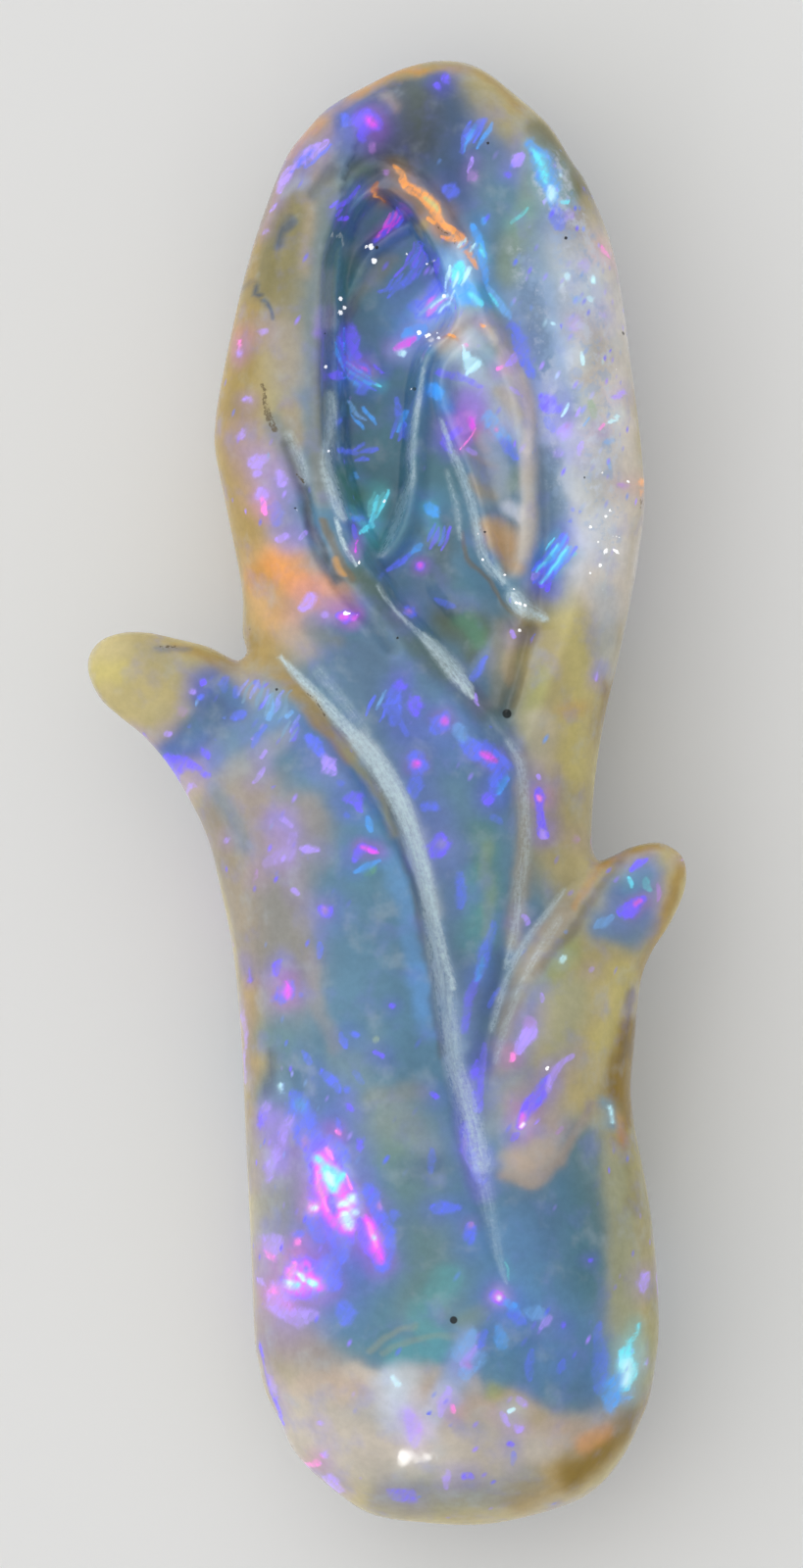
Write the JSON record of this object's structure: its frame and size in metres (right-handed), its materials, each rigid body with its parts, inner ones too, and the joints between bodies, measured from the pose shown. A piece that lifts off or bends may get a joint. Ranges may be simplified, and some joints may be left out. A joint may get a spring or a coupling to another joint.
{
  "type": "boulder opal flower carving",
  "caption": "Hand-carved opal flower in bud: a hollowed hood around an inner bud and petal, with a leaf curling out on each side of a rounded stalk, lying on its ground-flat back.",
  "frame": {"origin": "bottom centre of the carving's box, on the surface that its ground-flat back rests on", "axes": "+X to the right seen from the carved front, +Y along the length towards the top of the bloom, +Z out of the carved front"},
  "size_m": [0.0152, 0.0374, 0.0075],
  "materials": {
    "opal": "wet-gloss polish with frosted grooves; milky cream rims, blue-green core, violet and cyan play of colour"
  },
  "bodies": {
    "root": {"opal_flower_carving": "opal"}
  },
  "joints": []
}
